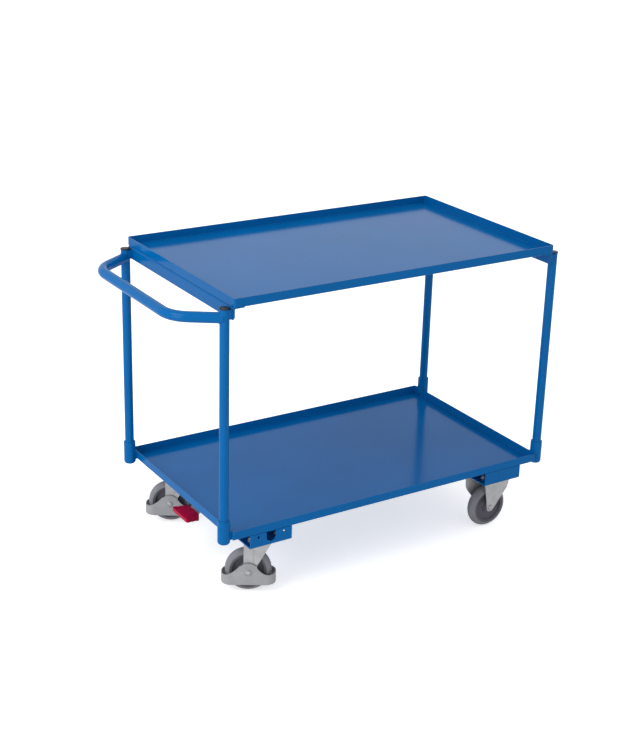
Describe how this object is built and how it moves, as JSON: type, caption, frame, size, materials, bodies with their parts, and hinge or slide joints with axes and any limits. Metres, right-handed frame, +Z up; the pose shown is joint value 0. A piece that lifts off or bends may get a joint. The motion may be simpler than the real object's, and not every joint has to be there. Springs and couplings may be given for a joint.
{
  "type": "two tier utility cart",
  "caption": "Two tier steel utility cart with rimmed trays, tube uprights, a push handle, swivel and fixed castors, and a central foot brake.",
  "frame": {"origin": "On the floor, under the middle of the cart's whole length and width.", "axes": "+X from the push handle end to the fixed castor end, +Y from the front side to the rear side, +Z up."},
  "size_m": [1.173, 0.6, 0.857],
  "materials": {
    "blue_paint": "smooth powder coat, semi gloss",
    "zinc_steel": "bright zinc plated",
    "dark_steel": "oiled bearing steel",
    "guard_plastic": "matte moulded",
    "tyre_rubber": "matte grey rubber",
    "hub_plastic": "satin moulded",
    "cap_plastic": "matte moulded",
    "pedal_plastic": "satin moulded"
  },
  "bodies": {
    "frame": {"top_tray": "blue_paint", "bottom_tray": "blue_paint", "end_rail_left": "blue_paint", "end_rail_right": "blue_paint", "upright_front_left": "blue_paint", "upright_rear_left": "blue_paint", "upright_front_right": "blue_paint", "upright_rear_right": "blue_paint", "socket_front_left": "blue_paint", "socket_rear_left": "blue_paint", "socket_front_right": "blue_paint", "socket_rear_right": "blue_paint", "tube_caps": "cap_plastic", "push_handle": "blue_paint", "tray_nuts": "zinc_steel", "bracket_front_left": "blue_paint", "bracket_rear_left": "blue_paint", "bracket_front_right": "blue_paint", "bracket_rear_right": "blue_paint", "swivel_plate_front": "zinc_steel", "swivel_plate_rear": "zinc_steel", "king_pins": "zinc_steel", "fixed_fork_front": "zinc_steel", "fixed_fork_rear": "zinc_steel", "castor_bolts": "zinc_steel", "castor_nuts": "zinc_steel", "fixed_axle_bolts": "zinc_steel", "fixed_axle_nuts": "zinc_steel", "fixed_axle_tubes": "dark_steel", "bar_bushes": "dark_steel"},
    "brake": {"brake_bar": "zinc_steel", "brake_arm": "zinc_steel", "brake_pedal": "pedal_plastic", "brake_cams": "zinc_steel"},
    "swivel_front": {"swivel_fork_front": "zinc_steel", "ball_race_front": "dark_steel", "foot_guard_front": "guard_plastic", "axle_bolt_front": "zinc_steel", "axle_nut_front": "zinc_steel", "axle_tube_front": "dark_steel"},
    "shoe_front": {"brake_shoe_front": "dark_steel"},
    "swivel_rear": {"swivel_fork_rear": "zinc_steel", "ball_race_rear": "dark_steel", "foot_guard_rear": "guard_plastic", "axle_bolt_rear": "zinc_steel", "axle_nut_rear": "zinc_steel", "axle_tube_rear": "dark_steel"},
    "shoe_rear": {"brake_shoe_rear": "dark_steel"},
    "wheel_front_left": {"tyre_front_left": "tyre_rubber", "hub_front_left": "hub_plastic", "bearing_front_left": "dark_steel"},
    "wheel_rear_left": {"tyre_rear_left": "tyre_rubber", "hub_rear_left": "hub_plastic", "bearing_rear_left": "dark_steel"},
    "wheel_front_right": {"tyre_front_right": "tyre_rubber", "hub_front_right": "hub_plastic", "bearing_front_right": "dark_steel"},
    "wheel_rear_right": {"tyre_rear_right": "tyre_rubber", "hub_rear_right": "hub_plastic", "bearing_rear_right": "dark_steel"}
  },
  "joints": [
    {"name": "front_swivel", "type": "hinge", "parent": "frame", "child": "swivel_front", "pos_m": [-0.3325, -0.23, 0.155], "axis": [0, 0, 1], "continuous": true},
    {"name": "rear_swivel", "type": "hinge", "parent": "frame", "child": "swivel_rear", "pos_m": [-0.3325, 0.23, 0.155], "axis": [0, 0, 1], "continuous": true},
    {"name": "front_left_wheel", "type": "hinge", "parent": "swivel_front", "child": "wheel_front_left", "pos_m": [-0.35415, -0.2175, 0.0625], "axis": [0.5, 0.866, 0], "continuous": true},
    {"name": "rear_left_wheel", "type": "hinge", "parent": "swivel_rear", "child": "wheel_rear_left", "pos_m": [-0.3537, 0.24325, 0.0625], "axis": [0.5299, 0.848, 0], "continuous": true},
    {"name": "front_right_wheel", "type": "hinge", "parent": "frame", "child": "wheel_front_right", "pos_m": [0.4385, -0.23, 0.0625], "axis": [0, 1, 0], "continuous": true},
    {"name": "rear_right_wheel", "type": "hinge", "parent": "frame", "child": "wheel_rear_right", "pos_m": [0.4385, 0.23, 0.0625], "axis": [0, 1, 0], "continuous": true},
    {"name": "brake_pedal_press", "type": "hinge", "parent": "frame", "child": "brake", "pos_m": [-0.3325, 0, 0.1895], "axis": [0, -1, 0], "range_deg": [0, 20]},
    {"name": "front_shoe_drop", "type": "slide", "parent": "swivel_front", "child": "shoe_front", "axis": [0, 0, -1], "range_m": [0, 0.0028]},
    {"name": "rear_shoe_drop", "type": "slide", "parent": "swivel_rear", "child": "shoe_rear", "axis": [0, 0, -1], "range_m": [0, 0.0028]}
  ],
  "couplings": [
    {"joint": "front_shoe_drop", "follows": "brake_pedal_press", "m_per_rad": 0.008},
    {"joint": "rear_shoe_drop", "follows": "brake_pedal_press", "m_per_rad": 0.008}
  ]
}
